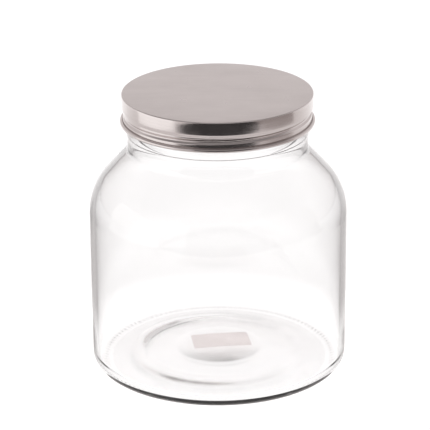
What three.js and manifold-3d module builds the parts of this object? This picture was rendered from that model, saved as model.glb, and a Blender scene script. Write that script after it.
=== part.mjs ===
// Lidded glass canister: a wide round jar with a screw-on pressed steel lid.
// Millimetres, +Z up. The origin is the centre of the face that the jar stands on.
import * as THREE from 'three';
import * as BufferGeometryUtils from 'three/addons/utils/BufferGeometryUtils.js';
import Module from 'manifold-3d';

// Overall dimensions
const jarRadius = 75.5;
const overallHeight = 166.6;
const lidRadius = 55.6;

// How finely round stretches are divided
const turnSegments = 64;
const heelSteps = 5;
const shoulderSteps = 6;
const floorCornerSteps = 4;
const filletSteps = 3;
const edgeSteps = 3;
const rimSteps = 2;
const curlSteps = 2;
const barSegments = 5;
const labelCornerSegments = 3;
const mergeDistance = 1e-3;

// Jar: outer outline
const heelRadius = 7.1;
const shoulderStart = 93.8;
const shoulderRadius = 35.4;
const shoulderTurn = THREE.MathUtils.degToRad(42.5);
const neckRadius = 52.66;
const neckFillet = 4.1;
const bearingInnerRadius = 61;

// Jar: wall, floor and rim
const wallThickness = 3.4;
const baseThickness = 3.6;
const floorCornerRadius = 6;
const pushUpRadius = 49;
const pushUpHeight = 2.8;
const recessRadius = 27;
const recessSlope = 2.5;
const recessHeight = 4;
const innerRecessInset = 1.5;
const floorMiddleHeight = 7.4;
const boreRadius = 48.7;
const boreLedge = 143.5;
const ledgeSlope = 1;
const rimTop = 164.9;
const rimRounding = 1.1;
const beadHeight = 0.6;
const beadBottom = 143.2;
const beadTop = 149.6;

// Screw thread, right handed: a rib on the glass and a rolled groove in the lid
const threadPitch = 5.08;
const frontAngle = -Math.PI / 2;
const grooveTurns = 1.1;
const grooveDepth = 1.1;
const grooveMiddle = 154.9;
const grooveLift = 1.5;
// The rib's middle is at the back, one pitch above the groove's at the front, so the two
// run half a pitch apart at every angle and the lid turns freely between them.
const ribTurns = 1;
const ribRadius = 1.35;
const ribMiddle = grooveMiddle + threadPitch;
const ribAngle = frontAngle + Math.PI;
const ribBuried = 1.8;
const runOutShare = 0.09;
const stepsPerTurn = 44;

// Lid
const sheetThickness = 0.5;
const lidEdgeRadius = 0.6;
const skirtBottom = 159.2;
const waistTop = 157.0;
const waistRadius = 54.9;
const curlRadius = 1.15;
const curlCentreRadius = 55.6;
const curlCentreHeight = 150.1;

// Seal and label
const sealInnerRadius = 49.4;
const sealOuterRadius = 54.5;
const faceGap = 0.05;
const labelWidth = 34;
const labelDepth = 19;
const labelThickness = 0.2;
const labelCorner = 1.2;
const labelOffset = { x: 1.2, y: 8.4 };
const labelTurn = THREE.MathUtils.degToRad(8);

const wasm = await Module();
wasm.setup();

// Points on an arc, from one angle to another, both ends included
function arc(centreR, centreZ, radius, from, to, steps) {
  const points = [];
  for (let i = 0; i <= steps; i += 1) {
    const angle = from + (to - from) * i / steps;
    points.push([centreR + radius * Math.cos(angle), centreZ + radius * Math.sin(angle)]);
  }
  return points;
}

// A closed body of revolution about Z from an outline of [radius, height] points
function revolve(outline) {
  const points = outline.map(([r, z]) => new THREE.Vector2(r, z));
  const geometry = new THREE.LatheGeometry(points, turnSegments);
  geometry.rotateX(Math.PI / 2);
  return geometry;
}

// A round bar along a right-handed helix; its path leaves the wall by endShift at both ends
function helicalBar({ pathRadius, middleHeight, middleAngle, turns, barRadius, endShift }) {
  class HelixCurve extends THREE.Curve {
    getPoint(t, target = new THREE.Vector3()) {
      const nearestEnd = Math.min(t, 1 - t);
      const runOut = THREE.MathUtils.clamp(1 - nearestEnd / runOutShare, 0, 1);
      const radius = pathRadius + endShift * THREE.MathUtils.smoothstep(runOut, 0, 1);
      const angle = middleAngle + 2 * Math.PI * turns * (t - 0.5);
      const height = middleHeight + threadPitch * turns * (t - 0.5);
      return target.set(radius * Math.cos(angle), radius * Math.sin(angle), height);
    }
  }
  const section = new THREE.Shape();
  section.absarc(0, 0, barRadius, 0, 2 * Math.PI, false);
  return new THREE.ExtrudeGeometry(section, {
    steps: Math.round(turns * stepsPerTurn),
    curveSegments: barSegments,
    bevelEnabled: false,
    extrudePath: new HelixCurve(),
  });
}

function toSolid(geometry) {
  const bare = geometry.clone();
  bare.deleteAttribute('normal');
  bare.deleteAttribute('uv');
  const merged = BufferGeometryUtils.mergeVertices(bare, mergeDistance);
  return new wasm.Manifold(new wasm.Mesh({
    numProp: 3,
    vertProperties: new Float32Array(merged.attributes.position.array),
    triVerts: new Uint32Array(merged.index.array),
  }));
}

function toGeometry(solid) {
  const mesh = solid.getMesh();
  const geometry = new THREE.BufferGeometry();
  geometry.setAttribute('position', new THREE.BufferAttribute(mesh.vertProperties, 3));
  geometry.setIndex(new THREE.BufferAttribute(mesh.triVerts, 1));
  geometry.computeVertexNormals();
  return geometry;
}

// Jar: one blown body with a raised base, a shoulder, a bead under the lid and a threaded mouth
function jarGeometry() {
  const shoulderCentre = jarRadius - shoulderRadius;
  const filletCentre = neckRadius + neckFillet;
  const slopeR = -Math.sin(shoulderTurn);
  const slopeZ = Math.cos(shoulderTurn);
  const shoulderEnd = [
    shoulderCentre + shoulderRadius * Math.cos(shoulderTurn),
    shoulderStart + shoulderRadius * Math.sin(shoulderTurn),
  ];
  const filletEndR = filletCentre - neckFillet * Math.cos(shoulderTurn);
  const coneLength = (filletEndR - shoulderEnd[0]) / slopeR;
  const filletHeight = shoulderEnd[1] + coneLength * slopeZ + neckFillet * Math.sin(shoulderTurn);
  const innerShoulder = shoulderRadius - wallThickness;
  const innerFillet = neckFillet + wallThickness;
  const innerWall = jarRadius - wallThickness;
  const beadRadius = neckRadius + beadHeight;
  const slopeMiddle = (pushUpRadius + bearingInnerRadius) / 2;

  const underside = [
    [0, recessHeight],
    [recessRadius, recessHeight],
    [recessRadius + recessSlope, pushUpHeight],
    [pushUpRadius, pushUpHeight],
    [slopeMiddle, pushUpHeight / 2],
    [bearingInnerRadius, 0],
  ];
  const outside = [
    ...arc(jarRadius - heelRadius, heelRadius, heelRadius, -Math.PI / 2, 0, heelSteps),
    ...arc(shoulderCentre, shoulderStart, shoulderRadius, 0, shoulderTurn, shoulderSteps),
    ...arc(filletCentre, filletHeight, neckFillet, Math.PI + shoulderTurn, Math.PI, filletSteps),
    [neckRadius, beadBottom],
    [beadRadius, beadBottom + beadHeight],
    [beadRadius, beadTop - beadHeight],
    [neckRadius, beadTop],
    ...arc(neckRadius - rimRounding, rimTop - rimRounding, rimRounding, 0, Math.PI / 2, rimSteps),
  ];
  const inside = [
    ...arc(boreRadius + rimRounding, rimTop - rimRounding, rimRounding, Math.PI / 2, Math.PI, rimSteps),
    [boreRadius, boreLedge],
    [filletCentre - innerFillet, boreLedge - ledgeSlope],
    ...arc(filletCentre, filletHeight, innerFillet, Math.PI, Math.PI + shoulderTurn, filletSteps),
    ...arc(shoulderCentre, shoulderStart, innerShoulder, shoulderTurn, 0, shoulderSteps),
    ...arc(innerWall - floorCornerRadius, baseThickness + floorCornerRadius, floorCornerRadius,
      0, -Math.PI / 2, floorCornerSteps),
    [bearingInnerRadius, baseThickness],
    [slopeMiddle, baseThickness + pushUpHeight / 2],
    [pushUpRadius, baseThickness + pushUpHeight],
    [recessRadius + recessSlope + innerRecessInset, baseThickness + pushUpHeight],
    [recessRadius - innerRecessInset, floorMiddleHeight],
    [0, floorMiddleHeight],
  ];
  const body = toSolid(revolve([...underside, ...outside, ...inside]));
  const rib = toSolid(helicalBar({
    pathRadius: neckRadius,
    middleHeight: ribMiddle,
    middleAngle: ribAngle,
    turns: ribTurns,
    barRadius: ribRadius,
    endShift: -ribBuried,
  }));
  return toGeometry(body.add(rib));
}

// Lid: a thin pressed cap with a flat top, a plain skirt, a rolled thread groove and a rolled hem
function lidGeometry() {
  const top = overallHeight;
  const underside = top - sheetThickness;
  const innerWaist = waistRadius - sheetThickness;
  const innerSkirt = lidRadius - sheetThickness;
  const innerEdge = lidEdgeRadius - sheetThickness;
  const curlTop = curlCentreHeight + curlRadius;
  const hemEnd = curlCentreHeight - curlRadius;
  const outside = [
    [0, hemEnd],
    [curlCentreRadius, hemEnd],
    ...arc(curlCentreRadius, curlCentreHeight, curlRadius, -Math.PI / 4, Math.PI / 4, curlSteps),
    [waistRadius, curlTop],
    [waistRadius, waistTop],
    [lidRadius, skirtBottom],
    ...arc(lidRadius - lidEdgeRadius, top - lidEdgeRadius, lidEdgeRadius, 0, Math.PI / 2, edgeSteps),
    [0, top],
  ];
  const belowHem = hemEnd - curlRadius;
  const cavity = [
    [0, belowHem],
    [innerWaist, belowHem],
    [innerWaist, waistTop],
    [innerSkirt, skirtBottom],
    [innerSkirt, underside - innerEdge],
    [innerSkirt - innerEdge, underside],
    [0, underside],
  ];
  const groovePath = {
    pathRadius: waistRadius,
    middleHeight: grooveMiddle,
    middleAngle: frontAngle,
    turns: grooveTurns,
    endShift: grooveLift,
  };
  const groove = toSolid(helicalBar({ ...groovePath, barRadius: grooveDepth }));
  const ridge = toSolid(helicalBar({ ...groovePath, barRadius: grooveDepth + sheetThickness }));
  const hollow = toSolid(revolve(cavity)).subtract(ridge);
  return toGeometry(toSolid(revolve(outside)).subtract(hollow).subtract(groove));
}

// Seal: a flat ring between the glass rim and the underside of the lid
function sealGeometry() {
  const low = rimTop + faceGap;
  const high = overallHeight - sheetThickness - faceGap;
  return revolve([
    [sealInnerRadius, low],
    [sealOuterRadius, low],
    [sealOuterRadius, high],
    [sealInnerRadius, high],
    [sealInnerRadius, low],
  ]);
}

// Label: a blank paper sticker under the recess in the base
function labelGeometry() {
  const x = labelWidth / 2;
  const y = labelDepth / 2;
  const outline = new THREE.Shape();
  outline.moveTo(-x + labelCorner, -y);
  outline.lineTo(x - labelCorner, -y);
  outline.absarc(x - labelCorner, -y + labelCorner, labelCorner, -Math.PI / 2, 0, false);
  outline.lineTo(x, y - labelCorner);
  outline.absarc(x - labelCorner, y - labelCorner, labelCorner, 0, Math.PI / 2, false);
  outline.lineTo(-x + labelCorner, y);
  outline.absarc(-x + labelCorner, y - labelCorner, labelCorner, Math.PI / 2, Math.PI, false);
  outline.lineTo(-x, -y + labelCorner);
  outline.absarc(-x + labelCorner, -y + labelCorner, labelCorner, Math.PI, 1.5 * Math.PI, false);
  return new THREE.ExtrudeGeometry(outline, {
    depth: labelThickness,
    curveSegments: labelCornerSegments,
    bevelEnabled: false,
  });
}

function namedMesh(name, geometry, colour, roughness, metalness) {
  const material = new THREE.MeshStandardMaterial({ color: colour, roughness, metalness });
  const mesh = new THREE.Mesh(geometry, material);
  mesh.name = name;
  return mesh;
}

const canister = new THREE.Group();

const jar = namedMesh('glass_jar', jarGeometry(), 0xf2f4f3, 0.03, 0);
jar.material.transparent = true;
jar.material.opacity = 0.35;
canister.add(jar);

const lidGroup = new THREE.Group();
lidGroup.add(namedMesh('lid_shell', lidGeometry(), 0xbfb6b4, 0.32, 1));
lidGroup.add(namedMesh('seal_ring', sealGeometry(), 0xe9e6df, 0.6, 0));
canister.add(lidGroup);

const label = namedMesh('base_label', labelGeometry(), 0xe8dcda, 0.9, 0);
label.position.set(labelOffset.x, labelOffset.y, recessHeight - faceGap - labelThickness);
label.rotation.z = labelTurn;
canister.add(label);

export default canister;
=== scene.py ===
"""A lidded glass canister: the look of its jar, lid, seal and label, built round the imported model."""
import math

import bmesh
import bpy
from bpy.props import FloatProperty, FloatVectorProperty, IntProperty, PointerProperty
from mathutils import Euler, Matrix, Vector, noise


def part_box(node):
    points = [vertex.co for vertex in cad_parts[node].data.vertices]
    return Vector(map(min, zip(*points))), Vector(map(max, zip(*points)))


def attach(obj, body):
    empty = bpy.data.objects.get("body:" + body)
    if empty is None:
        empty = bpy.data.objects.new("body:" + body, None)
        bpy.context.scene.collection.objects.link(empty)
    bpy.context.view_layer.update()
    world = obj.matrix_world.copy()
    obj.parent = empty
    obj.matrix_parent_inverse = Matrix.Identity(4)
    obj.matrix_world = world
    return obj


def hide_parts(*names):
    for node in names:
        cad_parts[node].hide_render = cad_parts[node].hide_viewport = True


bl_info = {
    "name": "Lidded glass canister",
    "version": (1, 0, 0),
    "blender": (4, 5, 0),
    "location": "View3D > Sidebar > Canister",
    "description": "Builds a wide glass jar with a screw-on brushed steel lid",
    "category": "Add Mesh",
}

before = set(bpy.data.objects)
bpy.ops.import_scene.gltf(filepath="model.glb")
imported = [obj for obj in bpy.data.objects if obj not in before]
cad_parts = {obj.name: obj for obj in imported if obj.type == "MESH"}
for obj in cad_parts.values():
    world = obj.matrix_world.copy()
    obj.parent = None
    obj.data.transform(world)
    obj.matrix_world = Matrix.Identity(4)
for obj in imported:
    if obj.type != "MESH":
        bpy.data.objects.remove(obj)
MM = 0.001
UP = Vector((0, 0, 1))

jar_low, jar_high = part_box("glass_jar")
lid_low, lid_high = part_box("lid_shell")
seal_low, seal_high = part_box("seal_ring")
label_low, label_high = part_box("base_label")
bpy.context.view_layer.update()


def length(name, description, millimetres):
    """A length property, with its default given in millimetres."""
    return FloatProperty(
        name=name, description=description, default=millimetres * MM, unit="LENGTH", precision=5)


def colour(name, description, red, green, blue):
    """A colour property."""
    return FloatVectorProperty(
        name=name, description=description, subtype="COLOR", size=3, min=0, max=1,
        default=(red, green, blue))


# ---------------------------------------------------------------- settings

class JarSettings(bpy.types.PropertyGroup):
    """Sizes of the glass jar"""
    radius: FloatProperty(name="Radius", description="Outer radius of the straight wall",
                          default=jar_high.x, unit="LENGTH")
    rim_top: FloatProperty(name="Rim height", description="Top of the glass rim",
                           default=jar_high.z, unit="LENGTH")
    wall: length("Wall", "Thickness of the glass wall", 3.4)
    heel: length("Heel radius", "Rounding between the wall and the base", 7.1)
    shoulder_start: length("Shoulder start", "Height at which the wall starts to turn in", 93.8)
    shoulder_radius: length("Shoulder radius", "Rounding of the shoulder", 35.4)
    shoulder_turn: FloatProperty(name="Shoulder angle", description="How far the shoulder leans in",
                                 default=math.radians(42.5), subtype="ANGLE")
    neck_radius: length("Neck radius", "Outer radius of the neck", 52.66)
    neck_fillet: length("Neck fillet", "Hollow rounding between shoulder and neck", 4.1)
    bore_radius: length("Bore radius", "Inner radius of the mouth", 48.7)
    base: length("Base", "Thickness of the glass base", 3.6)
    floor_corner: length("Floor corner", "Rounding between the floor and the wall inside", 6)
    recess: length("Recess", "Height of the raised middle of the underside", 4)
    recess_radius: length("Recess radius", "Radius of the flat middle of the underside", 27)
    bearing_radius: length("Bearing radius", "Inner radius of the ring that the jar stands on", 64)
    dome: length("Dome", "Rise of the domed middle of the floor inside", 1.7)
    dome_radius: length("Dome radius", "Radius of the domed middle of the floor", 26)
    swell: length("Swell", "Height of the uneven ring that the mould leaves round the floor", 2.1)
    swell_radius: length("Swell radius", "Radius of that ring", 48.5)
    rib_height: length("Thread height", "How far the screw thread stands out of the neck", 1.35)
    knurls: IntProperty(name="Bearing marks", description="Small dents round the bearing ring", default=120)


class LidSettings(bpy.types.PropertyGroup):
    """Sizes of the steel lid"""
    top: FloatProperty(name="Top", description="Height of the lid's flat top",
                       default=lid_high.z, unit="LENGTH")
    bottom: FloatProperty(name="Bottom", description="Height of the underside of the rolled hem",
                          default=lid_low.z, unit="LENGTH")
    radius: length("Skirt radius", "Outer radius of the plain skirt", 55.6)
    sheet: length("Sheet", "Thickness of the steel sheet", 0.5)
    edge: length("Edge radius", "Rounding at the edge of the top", 0.75)
    waist_radius: length("Waist radius", "Outer radius of the threaded part of the skirt", 54.9)
    groove_depth: length("Groove depth", "Depth of the rolled thread groove", 1.1)


class ThreadSettings(bpy.types.PropertyGroup):
    """The right-handed screw thread that the jar and the lid share"""
    pitch: length("Pitch", "Rise of the thread in one turn", 5.08)
    rib_turns: FloatProperty(name="Rib turns", description="Turns of the thread on the glass", default=1.0)
    groove_middle: length("Groove height", "Height of the middle of the thread in the lid", 154.9)
    groove_turns: FloatProperty(name="Groove turns", description="Turns of the thread in the lid",
                                default=1.1)
    run_out: FloatProperty(name="Run-out", description="Part of a turn in which the thread fades",
                           default=0.1)


class FinishSettings(bpy.types.PropertyGroup):
    """Colours and finishes"""
    steel: colour("Steel", "Colour of the brushed steel", 0.62, 0.575, 0.565)
    steel_roughness: FloatProperty(name="Steel roughness", description="Roughness of the lid's top",
                                   default=0.3, subtype="FACTOR")
    glass_tint: colour("Glass tint", "Colour that light takes on inside the glass", 0.80, 0.785, 0.785)
    glass_density: FloatProperty(name="Glass density", description="How strongly thick glass darkens",
                                 default=25.0)
    seal: colour("Seal", "Colour of the sealing compound", 0.82, 0.80, 0.76)
    paper: colour("Paper", "Colour of the sticker", 0.88, 0.81, 0.80)


class CanisterSettings(bpy.types.PropertyGroup):
    """Everything that can be set on the canister"""
    jar: PointerProperty(type=JarSettings)
    lid: PointerProperty(type=LidSettings)
    thread: PointerProperty(type=ThreadSettings)
    finish: PointerProperty(type=FinishSettings)


# ---------------------------------------------------------------- shaping

class Outline:
    """Half of a round piece's cross-section, drawn as a chain of edges in the XZ plane."""

    def __init__(self, bm, x, z):
        self.bm = bm
        self.tip = bm.verts.new((x, 0, z))

    def line_to(self, x, z, steps=1):
        start = self.tip.co.copy()
        end = Vector((x, 0, z))
        for step in range(1, steps + 1):
            self._extrude_to(start.lerp(end, step / steps))

    def ease_to(self, x, z, steps, upright=False):
        """An S-shaped stretch, level at both ends, or upright at both ends."""
        start = self.tip.co.copy()
        for step in range(1, steps + 1):
            share = step / steps
            eased = (1 - math.cos(math.pi * share)) / 2
            across, along = (eased, share) if upright else (share, eased)
            self._extrude_to(Vector((
                start.x + (x - start.x) * across, 0, start.z + (z - start.z) * along)))

    def arc(self, centre_x, centre_z, angle, steps):
        """Turns the tip about a centre; a positive angle goes from X towards Z."""
        made = bmesh.ops.spin(
            self.bm, geom=[self.tip], cent=(centre_x, 0, centre_z), axis=(0, -1, 0),
            angle=angle, steps=steps, use_merge=False)
        self.tip = next(item for item in made["geom_last"] if isinstance(item, bmesh.types.BMVert))

    def _extrude_to(self, point):
        made = bmesh.ops.extrude_vert_indiv(self.bm, verts=[self.tip])
        self.tip = made["verts"][0]
        self.tip.co = point


def spin_round(bm, steps):
    """Spins everything drawn so far into a closed round body."""
    bmesh.ops.spin(
        bm, geom=bm.verts[:] + bm.edges[:], cent=(0, 0, 0), axis=UP,
        angle=2 * math.pi, steps=steps, use_merge=True)
    bmesh.ops.remove_doubles(bm, verts=bm.verts[:], dist=1e-6)


def thread_height(point, middle, middle_turn, turns, pitch, half_width, run_out):
    """How much of a right-handed thread stands at a point, from 0 to 1.

    The thread's middle is middle_turn of a turn from the front."""
    around = (math.atan2(point.y, point.x) / (2 * math.pi) + 0.25 - middle_turn) % 1
    height = 0
    for whole in (-2, -1, 0, 1):
        turn = around + whole
        from_end = min(turn + turns / 2, turns / 2 - turn)
        distance = abs(point.z - middle - pitch * turn)
        if from_end > 0 and distance < half_width:
            fade = min(1, from_end / run_out)
            fade = fade * fade * (3 - 2 * fade)
            height = max(height, fade * math.cos(math.pi / 2 * distance / half_width) ** 1.5)
    return height


def floor_unevenness(jar, point):
    """Height that the mould's swell and the glass's slow waves add to the floor inside at a point."""
    highest_at = math.radians(-120)
    swell_width = 4.5 * MM
    wave_height, wave_length = 0.14 * MM, 17 * MM
    radius = math.hypot(point.x, point.y)
    towards = math.atan2(point.y, point.x) - highest_at
    strength = 0.5 + 0.5 * math.cos(towards)
    swell = jar.swell * strength * math.exp(-((radius - jar.swell_radius) / swell_width) ** 2)
    wave = wave_height * noise.noise(Vector((point.x, point.y, 0)) / wave_length)
    return swell + wave


def on_inner_floor(jar, point):
    """Whether a point lies on the floor inside the jar, and not on the underside below it."""
    floor_top = 12 * MM
    underside_curve = 0.7
    radius = math.hypot(point.x, point.y)
    rise = jar.recess * max(0, 1 - radius / jar.bearing_radius) ** underside_curve
    middle_of_glass = jar.base / 2 + rise
    return radius < jar.bearing_radius and middle_of_glass < point.z < floor_top


def move_out(vert, distance):
    """Moves a point away from the axis, or towards it if the distance is negative."""
    radius = math.hypot(vert.co.x, vert.co.y)
    share = (radius + distance) / radius
    vert.co.x *= share
    vert.co.y *= share


def finished_piece(bm, name, body, node, material):
    """Turns a shaped bmesh into a piece that rides on a body and stands for a node."""
    bmesh.ops.recalc_face_normals(bm, faces=bm.faces[:])
    for face in bm.faces:
        face.smooth = True
    mesh = bpy.data.meshes.new(name)
    bm.to_mesh(mesh)
    bm.free()
    piece = bpy.data.objects.new(name, mesh)
    bpy.context.scene.collection.objects.link(piece)
    mesh.materials.append(material)
    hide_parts(node)
    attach(piece, body)
    return piece


# ---------------------------------------------------------------- materials

def new_material(name):
    """A material with its node tree and its Principled node."""
    material = bpy.data.materials.new(name)
    material.use_nodes = True
    tree = material.node_tree
    return material, tree, tree.nodes["Principled BSDF"]


def add_node(tree, kind, settings=None, **inputs):
    """Adds a node, with its settings, and sets or links its inputs by name."""
    node = tree.nodes.new(kind)
    for key, value in (settings or {}).items():
        setattr(node, key, value)
    for key, value in inputs.items():
        socket = node.inputs[int(key[1:])] if key[1:].isdigit() else node.inputs[key.replace("_", " ")]
        if isinstance(value, bpy.types.NodeSocket):
            tree.links.new(value, socket)
        else:
            socket.default_value = value
    return node


def stretched_noise_group():
    """Node group: noise stretched by a scale for each axis, for grain, fibres and wipe marks."""
    group = bpy.data.node_groups.new("stretched_noise", "ShaderNodeTree")
    group.interface.new_socket("Scale", in_out="INPUT", socket_type="NodeSocketVector")
    group.interface.new_socket("Detail", in_out="INPUT", socket_type="NodeSocketFloat")
    group.interface.new_socket("Low", in_out="INPUT", socket_type="NodeSocketFloat")
    group.interface.new_socket("High", in_out="INPUT", socket_type="NodeSocketFloat")
    group.interface.new_socket("Value", in_out="OUTPUT", socket_type="NodeSocketFloat")
    source = group.nodes.new("NodeGroupInput")
    sink = group.nodes.new("NodeGroupOutput")
    place = add_node(group, "ShaderNodeTexCoord")
    stretch = add_node(group, "ShaderNodeVectorMath", {"operation": "MULTIPLY"},
                       _0=place.outputs["Object"], _1=source.outputs["Scale"])
    pattern = add_node(group, "ShaderNodeTexNoise", Vector=stretch.outputs["Vector"],
                       Scale=1.0, Detail=source.outputs["Detail"], Roughness=0.6)
    spread = add_node(group, "ShaderNodeMapRange", Value=pattern.outputs["Fac"],
                      From_Min=0.3, From_Max=0.7, To_Min=source.outputs["Low"],
                      To_Max=source.outputs["High"])
    group.links.new(spread.outputs["Result"], sink.inputs["Value"])
    return group


def stretched_noise(tree, scale, detail, low, high):
    """The value of one stretched noise, spread between low and high."""
    group = bpy.data.node_groups.get("stretched_noise") or stretched_noise_group()
    node = tree.nodes.new("ShaderNodeGroup")
    node.node_tree = group
    node.inputs["Scale"].default_value = scale
    node.inputs["Detail"].default_value = detail
    node.inputs["Low"].default_value = low
    node.inputs["High"].default_value = high
    return node.outputs["Value"]


def scaled_colour(tree, rgb, brightness):
    """A colour times a value that changes over the surface."""
    whole = add_node(tree, "ShaderNodeCombineXYZ", X=brightness, Y=brightness, Z=brightness)
    product = add_node(tree, "ShaderNodeVectorMath", {"operation": "MULTIPLY"},
                       _0=whole.outputs["Vector"], _1=tuple(rgb))
    return product.outputs["Vector"]


def steel_material(finish, lid):
    """Brushed steel: straight grain on the top, grain round the skirt, faint rub marks."""
    material, tree, shader = new_material("brushed_steel")
    place = add_node(tree, "ShaderNodeTexCoord")
    parts = add_node(tree, "ShaderNodeSeparateXYZ", Vector=place.outputs["Object"])
    on_top = add_node(tree, "ShaderNodeMapRange", Value=parts.outputs["Z"],
                      From_Min=lid.top - 0.5 * MM, From_Max=lid.top - 0.2 * MM)
    top_grain = stretched_noise(tree, (25, 2600, 25), 3, 0.0, 1.0)
    skirt_grain = stretched_noise(tree, (14, 14, 3200), 3, 0.0, 1.0)
    grain = add_node(tree, "ShaderNodeMix", {"data_type": "FLOAT"}, Factor=on_top.outputs["Result"],
                     _2=skirt_grain, _3=top_grain)
    cloud = stretched_noise(tree, (28, 60, 28), 2, 0.96, 1.03)
    shade = add_node(tree, "ShaderNodeMapRange", Value=grain.outputs[0], To_Min=0.965, To_Max=1.03)
    tone = add_node(tree, "ShaderNodeMath", {"operation": "MULTIPLY"}, _0=shade.outputs["Result"], _1=cloud)
    tree.links.new(scaled_colour(tree, finish.steel, tone.outputs[0]), shader.inputs["Base Color"])
    wear = stretched_noise(tree, (90, 90, 90), 4, -0.03, 0.03)
    base = add_node(tree, "ShaderNodeMapRange", Value=on_top.outputs["Result"],
                    To_Min=0.17, To_Max=finish.steel_roughness)
    rough = add_node(tree, "ShaderNodeMath", {"operation": "ADD"}, _0=base.outputs["Result"], _1=wear)
    tree.links.new(rough.outputs[0], shader.inputs["Roughness"])
    bump = add_node(tree, "ShaderNodeBump", Strength=0.12, Distance=0.02 * MM, Height=grain.outputs[0])
    tree.links.new(bump.outputs["Normal"], shader.inputs["Normal"])
    shader.inputs["Metallic"].default_value = 1.0
    return material


def glass_material(finish):
    """Clear jar glass: it darkens a little where it is thick, and carries faint wipe marks."""
    material, tree, shader = new_material("jar_glass")
    shader.inputs["Transmission Weight"].default_value = 1.0
    shader.inputs["IOR"].default_value = 1.5
    shader.inputs["Base Color"].default_value = (1, 1, 1, 1)
    smears = stretched_noise(tree, (40, 40, 9), 3, 0.0, 0.012)
    tree.links.new(smears, shader.inputs["Roughness"])
    swell = stretched_noise(tree, (30, 30, 16), 1, 0.0, 1.0)
    bump = add_node(tree, "ShaderNodeBump", Strength=0.25, Distance=0.25 * MM, Height=swell)
    tree.links.new(bump.outputs["Normal"], shader.inputs["Normal"])
    soak = add_node(tree, "ShaderNodeVolumeAbsorption", Color=(*finish.glass_tint, 1),
                    Density=finish.glass_density)
    tree.links.new(soak.outputs["Volume"], tree.nodes["Material Output"].inputs["Volume"])
    return material


def seal_material(finish):
    """Matt sealing compound, slightly uneven."""
    material, tree, shader = new_material("sealing_compound")
    tone = stretched_noise(tree, (300, 300, 300), 4, 0.93, 1.04)
    tree.links.new(scaled_colour(tree, finish.seal, tone), shader.inputs["Base Color"])
    tree.links.new(stretched_noise(tree, (500, 500, 500), 2, 0.5, 0.7), shader.inputs["Roughness"])
    bump = add_node(tree, "ShaderNodeBump", Strength=0.2, Distance=0.05 * MM,
                    Height=stretched_noise(tree, (900, 900, 900), 3, 0.0, 1.0))
    tree.links.new(bump.outputs["Normal"], shader.inputs["Normal"])
    return material


def paper_material(finish):
    """Blank sticker paper with fibres."""
    material, tree, shader = new_material("sticker_paper")
    tone = stretched_noise(tree, (260, 900, 260), 5, 0.92, 1.05)
    tree.links.new(scaled_colour(tree, finish.paper, tone), shader.inputs["Base Color"])
    tree.links.new(stretched_noise(tree, (400, 400, 400), 2, 0.75, 0.92), shader.inputs["Roughness"])
    bump = add_node(tree, "ShaderNodeBump", Strength=0.3, Distance=0.03 * MM,
                    Height=stretched_noise(tree, (1500, 2600, 1500), 4, 0.0, 1.0))
    tree.links.new(bump.outputs["Normal"], shader.inputs["Normal"])
    return material


# ---------------------------------------------------------------- pieces

def draw_jar(bm, jar):
    """The jar's outline, from the middle of its underside round the rim to the middle of its floor."""
    turn = jar.shoulder_turn
    centre = jar.radius - jar.shoulder_radius
    fillet_centre = jar.neck_radius + jar.neck_fillet
    shoulder_end_x = centre + jar.shoulder_radius * math.cos(turn)
    shoulder_end_z = jar.shoulder_start + jar.shoulder_radius * math.sin(turn)
    cone_end_x = fillet_centre - jar.neck_fillet * math.cos(turn)
    cone_rise = (shoulder_end_x - cone_end_x) / math.tan(turn)
    cone_end_z = shoulder_end_z + cone_rise
    fillet_z = cone_end_z + jar.neck_fillet * math.sin(turn)
    rim_round = 1.1 * MM
    bead = 0.6 * MM
    bead_bottom, bead_top = 143.2 * MM, 149.6 * MM
    inner_radius = jar.radius - jar.wall
    inner_fillet = jar.neck_fillet + jar.wall
    ledge, ledge_drop = 143.5 * MM, 1.2 * MM

    line = Outline(bm, 0, jar.recess)
    line.line_to(jar.recess_radius, jar.recess, 2)
    line.ease_to(jar.bearing_radius, 0, 28)
    line.line_to(jar.radius - jar.heel, 0, 4)
    line.arc(jar.radius - jar.heel, jar.heel, math.pi / 2, 12)
    line.line_to(jar.radius, jar.shoulder_start, 6)
    line.arc(centre, jar.shoulder_start, turn, 16)
    line.line_to(cone_end_x, cone_end_z, 3)
    line.arc(fillet_centre, fillet_z, -turn, 8)
    line.line_to(jar.neck_radius, bead_bottom, 2)
    line.ease_to(jar.neck_radius + bead, bead_bottom + bead, 5, upright=True)
    line.line_to(jar.neck_radius + bead, bead_top - bead)
    line.ease_to(jar.neck_radius, bead_top, 5, upright=True)
    line.line_to(jar.neck_radius, jar.rim_top - rim_round, 36)
    line.arc(jar.neck_radius - rim_round, jar.rim_top - rim_round, math.pi / 2, 5)
    line.line_to(jar.bore_radius + rim_round, jar.rim_top)
    line.arc(jar.bore_radius + rim_round, jar.rim_top - rim_round, math.pi / 2, 5)
    line.line_to(jar.bore_radius, ledge, 4)
    line.ease_to(fillet_centre - inner_fillet, ledge - ledge_drop, 5, upright=True)
    line.line_to(fillet_centre - inner_fillet, fillet_z)
    line.arc(fillet_centre, fillet_z, turn, 8)
    line.line_to(centre + (jar.shoulder_radius - jar.wall) * math.cos(turn),
                 jar.shoulder_start + (jar.shoulder_radius - jar.wall) * math.sin(turn), 3)
    line.arc(centre, jar.shoulder_start, -turn, 16)
    line.line_to(inner_radius, jar.base + jar.floor_corner, 6)
    line.arc(inner_radius - jar.floor_corner, jar.base + jar.floor_corner, -math.pi / 2, 12)
    line.line_to(jar.bearing_radius, jar.base)
    line.ease_to(jar.recess_radius, jar.base + jar.recess, 40)
    line.line_to(jar.dome_radius, jar.base + jar.recess)
    dome_curve = (jar.dome_radius ** 2 + jar.dome ** 2) / (2 * jar.dome)
    dome_angle = math.asin(jar.dome_radius / dome_curve)
    line.arc(0, jar.base + jar.recess + jar.dome - dome_curve, dome_angle, 16)


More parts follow.
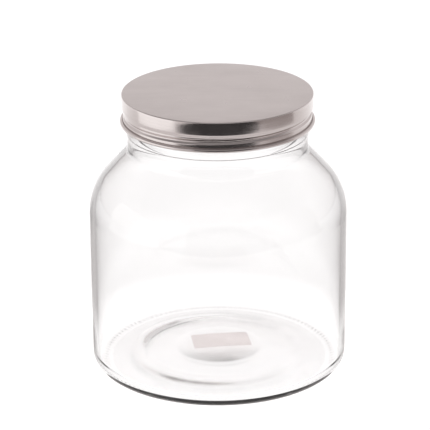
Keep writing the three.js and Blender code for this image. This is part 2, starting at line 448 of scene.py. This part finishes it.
def draw_lid(bm, lid):
    """The lid's outline: top, edge, skirt, taper, waist, rolled hem, and the same sheet back inside."""
    sheet = lid.sheet
    roll = 1.15 * MM
    roll_x = lid.waist_radius + roll - sheet
    roll_z = lid.bottom + roll
    roll_turn = math.radians(300)
    taper_top, taper_bottom = 159.2 * MM, 157.0 * MM
    line = Outline(bm, 0, lid.top)
    line.line_to(lid.radius - lid.edge, lid.top, 3)
    line.arc(lid.radius - lid.edge, lid.top - lid.edge, -math.pi / 2, 6)
    line.line_to(lid.radius, taper_top, 3)
    line.ease_to(lid.waist_radius, taper_bottom, 12, upright=True)
    line.line_to(lid.waist_radius, roll_z + roll, 28)
    line.line_to(lid.waist_radius, roll_z)
    line.arc(roll_x, roll_z, roll_turn, 28)
    end = Vector((math.cos(math.pi + roll_turn), 0, math.sin(math.pi + roll_turn)))
    line.line_to(roll_x + roll * end.x, roll_z + roll * end.z)
    line.arc(roll_x, roll_z, -roll_turn, 32)
    line.line_to(lid.waist_radius - sheet, roll_z + roll)
    line.line_to(lid.waist_radius - sheet, taper_bottom, 28)
    line.ease_to(lid.radius - sheet, taper_top, 12, upright=True)
    line.line_to(lid.radius - sheet, lid.top - lid.edge, 3)
    line.arc(lid.radius - lid.edge, lid.top - lid.edge, math.pi / 2, 4)
    line.line_to(0, lid.top - sheet, 3)


class CANISTER_OT_jar(bpy.types.Operator):
    """Build the glass jar with its raised base, shoulder and threaded mouth"""
    bl_idname = "canister.jar"
    bl_label = "Glass jar"

    def execute(self, context):
        settings = context.scene.canister
        jar, thread = settings.jar, settings.thread
        steps_per_knurl = 3
        steps = steps_per_knurl * jar.knurls
        thread_bottom = 151 * MM
        rib_half_width = 1.9 * MM
        knurl_top, knurl_inner_radius, knurl_depth = 0.6 * MM, 67 * MM, 0.18 * MM
        bm = bmesh.new()
        draw_jar(bm, jar)
        spin_round(bm, steps)
        for vert in bm.verts:
            radius = math.hypot(vert.co.x, vert.co.y)
            if vert.co.z > thread_bottom and radius > jar.neck_radius - 0.1 * MM:
                height = thread_height(vert.co, thread.groove_middle + thread.pitch, 0.5,
                                       thread.rib_turns, thread.pitch, rib_half_width, thread.run_out)
                move_out(vert, jar.rib_height * height)
            if on_inner_floor(jar, vert.co):
                vert.co.z += floor_unevenness(jar, vert.co)
            if vert.co.z < knurl_top and radius > knurl_inner_radius:
                step = round(math.atan2(vert.co.y, vert.co.x) / (2 * math.pi) * steps)
                if step % steps_per_knurl == 0:
                    vert.co.z += knurl_depth
        body = finished_piece(bm, "jar_glass_body", "jar", "glass_jar",
                              glass_material(settings.finish))
        body.visible_shadow = False
        return {"FINISHED"}


class CANISTER_OT_lid(bpy.types.Operator):
    """Build the pressed steel lid with its rolled thread and hem"""
    bl_idname = "canister.lid"
    bl_label = "Steel lid"

    def execute(self, context):
        settings = context.scene.canister
        lid, thread = settings.lid, settings.thread
        hem_top = lid.bottom + 2.2 * MM
        skirt_bottom = 159.2 * MM
        groove_half_width = 1.7 * MM
        bm = bmesh.new()
        draw_lid(bm, lid)
        spin_round(bm, 288)
        for vert in bm.verts:
            if hem_top < vert.co.z < skirt_bottom:
                height = thread_height(vert.co, thread.groove_middle, 0, thread.groove_turns,
                                       thread.pitch, groove_half_width, thread.run_out)
                move_out(vert, -lid.groove_depth * height)
        finished_piece(bm, "lid_cap", "lid", "lid_shell",
                       steel_material(settings.finish, lid))
        return {"FINISHED"}


class CANISTER_OT_seal(bpy.types.Operator):
    """Build the seal ring inside the lid"""
    bl_idname = "canister.seal"
    bl_label = "Seal ring"

    def execute(self, context):
        settings = context.scene.canister
        inner = 49.4 * MM
        low, high = seal_low.z, seal_high.z
        rounding = 0.35 * MM
        bm = bmesh.new()
        line = Outline(bm, inner + rounding, low)
        line.line_to(seal_high.x - rounding, low, 6)
        line.arc(seal_high.x - rounding, low + rounding, math.pi / 2, 5)
        line.line_to(seal_high.x, high - rounding)
        line.arc(seal_high.x - rounding, high - rounding, math.pi / 2, 5)
        line.line_to(inner + rounding, high, 2)
        line.arc(inner + rounding, high - rounding, math.pi / 2, 5)
        line.line_to(inner, low + rounding)
        line.arc(inner + rounding, low + rounding, math.pi / 2, 5)
        spin_round(bm, 192)
        finished_piece(bm, "seal_compound_ring", "seal", "seal_ring",
                       seal_material(settings.finish))
        return {"FINISHED"}


class CANISTER_OT_label(bpy.types.Operator):
    """Build the blank paper sticker under the base"""
    bl_idname = "canister.label"
    bl_label = "Base sticker"

    def execute(self, context):
        settings = context.scene.canister
        centre = (label_low + label_high) / 2
        width, depth = 34 * MM, 19 * MM
        corner = 1.2 * MM
        askew = math.radians(8)
        thickness = label_high.z - label_low.z
        bm = bmesh.new()
        bmesh.ops.create_grid(bm, x_segments=1, y_segments=1, size=0.5)
        bmesh.ops.scale(bm, vec=(width, depth, 1), verts=bm.verts[:])
        bmesh.ops.bevel(bm, geom=bm.verts[:], offset=corner, segments=5, profile=0.5,
                        affect="VERTICES", material=-1)
        bmesh.ops.solidify(bm, geom=bm.faces[:], thickness=thickness)
        bmesh.ops.rotate(bm, cent=(0, 0, 0), matrix=Matrix.Rotation(askew, 3, "Z"),
                         verts=bm.verts[:])
        bmesh.ops.translate(bm, vec=(centre.x, centre.y, label_low.z), verts=bm.verts[:])
        finished_piece(bm, "base_sticker", "jar", "base_label",
                       paper_material(settings.finish))
        return {"FINISHED"}


# ---------------------------------------------------------------- stage

LENS = 198.8
CAMERA_DISTANCE, CAMERA_HEIGHT = 1304.2 * MM, 594.9 * MM
CAMERA_PITCH, CAMERA_YAW, CAMERA_ROLL = (math.radians(angle) for angle in (21.146, 0.082, -0.395))

# Tones of the stage: as light that comes straight, off a surface, or off a surface inside the glass sees it.
BACKDROP = (1, 1, 1)
SOFT_LIGHT = (2.4, 2.37, 2.37)
WALL_THROUGH_GLASS = (1.09, 1.075, 1.075)
WALL_MIRRORED = (0.82, 0.78, 0.775)
WALL_MIRRORED_IN_GLASS = (0.74, 0.70, 0.695)
CEILING_MIRRORED = (0.3, 0.28, 0.28)
CEILING_MIRRORED_IN_GLASS = (0.42, 0.39, 0.385)
TABLE_MIRRORED = (0.9, 0.86, 0.85)
TABLE_MIRRORED_IN_GLASS = (0.45, 0.43, 0.43)
TABLE_UNDER_JAR = (1.1, 1.09, 1.09)
TABLE_BEHIND = (1.25, 1.23, 1.23)
TABLE_BEHIND_IN_GLASS = (0.45, 0.43, 0.43)
# The floor's glow is stronger under the jar than around it: a painted pool of light under the canister.
GLOW_UNDER_JAR, GLOW_AROUND = 1.45, 0.5
FRONT_CARD = (0.045, 0.042, 0.043)
RIGHT_CARD = (0.42, 0.37, 0.36)
LEFT_CARD = (1.4, 1.38, 1.37)


def as_colour(value):
    """A socket as it is, or a plain colour with its alpha."""
    return value if isinstance(value, bpy.types.NodeSocket) else (*value, 1)


def by_path(tree, direct, mirrored, mirrored_in_glass):
    """Picks a stage colour for light that comes straight, off a surface, or off a surface inside glass."""
    path = add_node(tree, "ShaderNodeLightPath")
    after_mirror = add_node(tree, "ShaderNodeMath", {"operation": "GREATER_THAN"},
                            _0=path.outputs["Glossy Depth"], _1=0.5)
    in_glass = add_node(tree, "ShaderNodeMath", {"operation": "GREATER_THAN"},
                        _0=path.outputs["Transmission Depth"], _1=0.5)
    shine = add_node(tree, "ShaderNodeMix", {"data_type": "RGBA"}, Factor=in_glass.outputs[0],
                     _6=as_colour(mirrored), _7=as_colour(mirrored_in_glass))
    mix = add_node(tree, "ShaderNodeMix", {"data_type": "RGBA"}, Factor=after_mirror.outputs[0],
                   _6=as_colour(direct), _7=shine.outputs[2])
    return path, after_mirror.outputs[0], mix.outputs[2]


def glow(name, radiance):
    """A plain self-lit stage surface."""
    material = bpy.data.materials.new(name)
    material.use_nodes = True
    tree = material.node_tree
    tree.nodes.clear()
    light = add_node(tree, "ShaderNodeEmission", Color=(*radiance, 1), Strength=1.0)
    sink = tree.nodes.new("ShaderNodeOutputMaterial")
    tree.links.new(light.outputs["Emission"], sink.inputs["Surface"])
    return material


def card(name, corners, radiance):
    """A card beside the canister that shows only in reflections."""
    bm = bmesh.new()
    bm.faces.new([bm.verts.new(corner) for corner in corners])
    mesh = bpy.data.meshes.new(name)
    bm.to_mesh(mesh)
    bm.free()
    piece = bpy.data.objects.new(name, mesh)
    bpy.context.scene.collection.objects.link(piece)
    mesh.materials.append(glow(name, radiance))
    piece.visible_camera = False
    piece.visible_diffuse = False
    piece.visible_shadow = False
    piece.visible_transmission = False


class CANISTER_OT_stage(bpy.types.Operator):
    """Set up the floor, the studio surroundings and the camera"""
    bl_idname = "canister.stage"
    bl_label = "Stage"

    def execute(self, context):
        scene = context.scene
        scene.view_settings.view_transform = "Standard"
        self.add_camera(scene)
        self.add_world(scene)
        self.add_floor()
        self.add_cards()
        return {"FINISHED"}

    def add_camera(self, scene):
        data = bpy.data.cameras.new("camera")
        camera = bpy.data.objects.new("camera", data)
        scene.collection.objects.link(camera)
        data.lens = LENS
        data.sensor_width = 36
        data.clip_end = 100
        level = math.pi / 2
        aim = Euler((0, 0, CAMERA_YAW)).to_matrix() @ Euler((level - CAMERA_PITCH, 0, 0)).to_matrix()
        turn = aim @ Euler((0, 0, CAMERA_ROLL)).to_matrix()
        camera.rotation_euler = turn.to_euler()
        camera.location = (0, -CAMERA_DISTANCE, CAMERA_HEIGHT)
        scene.camera = camera

    def add_world(self, scene):
        """An even soft light all round; the lid's top mirrors the slightly dimmer wall behind."""
        world = bpy.data.worlds.new("studio")
        world.use_nodes = True
        scene.world = world
        tree = world.node_tree
        tree.nodes.clear()
        place = add_node(tree, "ShaderNodeTexCoord")
        parts = add_node(tree, "ShaderNodeSeparateXYZ", Vector=place.outputs["Generated"])
        overhead = add_node(tree, "ShaderNodeMapRange", {"interpolation_type": "SMOOTHSTEP"},
                            Value=parts.outputs["Z"], From_Min=0.45, From_Max=0.75)

        def rising(wall, ceiling):
            blend = add_node(tree, "ShaderNodeMix", {"data_type": "RGBA"},
                             Factor=overhead.outputs["Result"], _6=(*wall, 1), _7=(*ceiling, 1))
            return blend.outputs[2]

        path, _, shown = by_path(tree, rising(WALL_THROUGH_GLASS, SOFT_LIGHT),
                                 rising(WALL_MIRRORED, CEILING_MIRRORED),
                                 rising(WALL_MIRRORED_IN_GLASS, CEILING_MIRRORED_IN_GLASS))
        after_matt = add_node(tree, "ShaderNodeMath", {"operation": "GREATER_THAN"},
                              _0=path.outputs["Diffuse Depth"], _1=0.5)
        lit = add_node(tree, "ShaderNodeMix", {"data_type": "RGBA"}, Factor=after_matt.outputs[0],
                       _6=shown, _7=(*SOFT_LIGHT, 1))
        wall = add_node(tree, "ShaderNodeMix", {"data_type": "RGBA"}, Factor=path.outputs["Is Camera Ray"],
                        _6=lit.outputs[2], _7=(*BACKDROP, 1))
        light = add_node(tree, "ShaderNodeBackground", Color=wall.outputs[2], Strength=1.0)
        sink = tree.nodes.new("ShaderNodeOutputWorld")
        tree.links.new(light.outputs["Background"], sink.inputs["Surface"])

    def add_floor(self):
        bm = bmesh.new()
        bmesh.ops.create_grid(bm, x_segments=2, y_segments=2, size=12)
        mesh = bpy.data.meshes.new("floor")
        bm.to_mesh(mesh)
        bm.free()
        floor = bpy.data.objects.new("floor", mesh)
        bpy.context.scene.collection.objects.link(floor)
        mesh.materials.append(self.floor_material())

    def floor_material(self):
        """A bright white table that still takes a little shadow; it also glows, with a painted pool of light
        under the jar, and in reflections it shows painted reflection tones in place of its own shading.
        """
        material = bpy.data.materials.new("pale_floor")
        material.use_nodes = True
        tree = material.node_tree
        tree.nodes.clear()
        place = add_node(tree, "ShaderNodeTexCoord")
        parts = add_node(tree, "ShaderNodeSeparateXYZ", Vector=place.outputs["Object"])
        behind = add_node(tree, "ShaderNodeMapRange", {"interpolation_type": "SMOOTHSTEP"},
                          Value=parts.outputs["Y"], From_Min=0.1, From_Max=0.5)
        away = add_node(tree, "ShaderNodeVectorMath", {"operation": "LENGTH"}, _0=place.outputs["Object"])
        clear = add_node(tree, "ShaderNodeMapRange", {"interpolation_type": "SMOOTHSTEP"},
                         Value=away.outputs["Value"], From_Min=0.085, From_Max=0.14)
        matt = add_node(tree, "ShaderNodeBsdfDiffuse", Color=(0.74, 0.74, 0.74, 1))
        # Painted light: the glow is stronger under the jar, a painted pool of light there, and weaker
        # further away.
        strength = add_node(tree, "ShaderNodeMapRange", Value=clear.outputs["Result"],
                            To_Min=GLOW_UNDER_JAR, To_Max=GLOW_AROUND)
        lit = add_node(tree, "ShaderNodeEmission", Color=(1, 0.99, 0.99, 1),
                       Strength=strength.outputs["Result"])
        table = add_node(tree, "ShaderNodeMixShader", _0=0.5, _1=matt.outputs["BSDF"],
                         _2=lit.outputs["Emission"])

        def across_table(near, side, back_colour):
            back = add_node(tree, "ShaderNodeMix", {"data_type": "RGBA"}, Factor=behind.outputs["Result"],
                            _6=(*side, 1), _7=(*back_colour, 1))
            blend = add_node(tree, "ShaderNodeMix", {"data_type": "RGBA"}, Factor=clear.outputs["Result"],
                             _6=(*near, 1), _7=back.outputs[2])
            return blend.outputs[2]

        # After a mirror bounce the floor shows these set tones instead of its own shading: painted
        # reflection tones, darker where seen inside the glass.
        outside = across_table(TABLE_MIRRORED, TABLE_MIRRORED, TABLE_BEHIND)
        inside = across_table(TABLE_UNDER_JAR, TABLE_MIRRORED_IN_GLASS, TABLE_BEHIND_IN_GLASS)
        _, after_mirror, shown = by_path(tree, (1, 1, 1), outside, inside)
        shine = add_node(tree, "ShaderNodeEmission", Color=shown, Strength=1.0)
        mix = add_node(tree, "ShaderNodeMixShader", _0=after_mirror, _1=table.outputs["Shader"],
                       _2=shine.outputs["Emission"])
        sink = tree.nodes.new("ShaderNodeOutputMaterial")
        tree.links.new(mix.outputs["Shader"], sink.inputs["Surface"])
        return material

    def add_cards(self):
        """Cards that give the steel its bands: dark in front, grey on the right, bright on the left."""
        low = 2 * MM
        tall = 0.9
        near = [(-0.37, -0.32), (0.38, -0.33), (0.47, 0.07)]
        far = [(-0.62, -1.2), (1.0, -1.1), (1.1, 0.1)]
        for side, first, radiance in (("front", 0, FRONT_CARD), ("right", 1, RIGHT_CARD)):
            inner = near[first:first + 2]
            outer = far[first:first + 2]
            table = [(*inner[0], low), (*outer[0], low), (*outer[1], low), (*inner[1], low)]
            wall = [(*outer[0], low), (*outer[1], low), (*outer[1], tall), (*outer[0], tall)]
            card(side + "_table_card", table, radiance)
            card(side + "_wall_card", wall, radiance)
        left_end, left_top = (-0.45, 0.10), 0.3
        card("left_card", [(*near[0], low), (*near[0], left_top), (*left_end, left_top), (*left_end, low)],
             LEFT_CARD)


# ---------------------------------------------------------------- panel

PIECES = (CANISTER_OT_stage, CANISTER_OT_jar, CANISTER_OT_label, CANISTER_OT_seal, CANISTER_OT_lid)


class CANISTER_PT_panel(bpy.types.Panel):
    """Lists the canister's pieces and settings"""
    bl_idname = "CANISTER_PT_panel"
    bl_label = "Glass canister"
    bl_space_type = "VIEW_3D"
    bl_region_type = "UI"
    bl_category = "Canister"

    def draw(self, context):
        for piece in PIECES:
            self.layout.operator(piece.bl_idname)
        settings = context.scene.canister
        for group in (settings.jar, settings.lid, settings.thread, settings.finish):
            box = self.layout.box()
            for name in group.__annotations__:
                box.prop(group, name)


CLASSES = (JarSettings, LidSettings, ThreadSettings, FinishSettings, CanisterSettings, *PIECES,
           CANISTER_PT_panel)


def register():
    for item in CLASSES:
        bpy.utils.register_class(item)
    bpy.types.Scene.canister = PointerProperty(type=CanisterSettings)


def unregister():
    del bpy.types.Scene.canister
    for item in reversed(CLASSES):
        bpy.utils.unregister_class(item)


def main():
    register()
    bpy.ops.canister.stage()
    bpy.ops.canister.jar()
    bpy.ops.canister.label()
    bpy.ops.canister.seal()
    bpy.ops.canister.lid()


if __name__ == "__main__":
    main()
